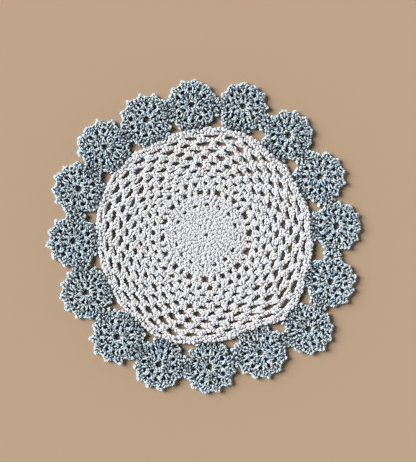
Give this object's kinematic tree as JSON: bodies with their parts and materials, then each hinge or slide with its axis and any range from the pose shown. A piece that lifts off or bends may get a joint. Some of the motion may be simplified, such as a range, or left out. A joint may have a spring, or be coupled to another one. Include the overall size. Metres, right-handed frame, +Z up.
{
  "type": "crocheted doily",
  "caption": "Round crocheted cotton doily that lies flat: an off-white openwork mat edged with a ring of blue-grey rosettes.",
  "frame": {"origin": "centre of the openwork mat, on the underside that lies on the table", "axes": "+Z up out of the upper face; +X to the right and +Y away from a viewer who looks down on the upper face"},
  "size_m": [0.3305, 0.3296, 0.0046],
  "materials": {
    "off_white_yarn": "matt plied cotton yarn, off-white",
    "blue_grey_yarn": "matt plied cotton yarn, blue-grey"
  },
  "bodies": {
    "root": {"centre_mat": "off_white_yarn", "rosette_01": "blue_grey_yarn", "rosette_02": "blue_grey_yarn", "rosette_03": "blue_grey_yarn", "rosette_04": "blue_grey_yarn", "rosette_05": "blue_grey_yarn", "rosette_06": "blue_grey_yarn", "rosette_07": "blue_grey_yarn", "rosette_08": "blue_grey_yarn", "rosette_09": "blue_grey_yarn", "rosette_10": "blue_grey_yarn", "rosette_11": "blue_grey_yarn", "rosette_12": "blue_grey_yarn", "rosette_13": "blue_grey_yarn", "rosette_14": "blue_grey_yarn", "rosette_15": "blue_grey_yarn", "rosette_16": "blue_grey_yarn"}
  },
  "joints": []
}
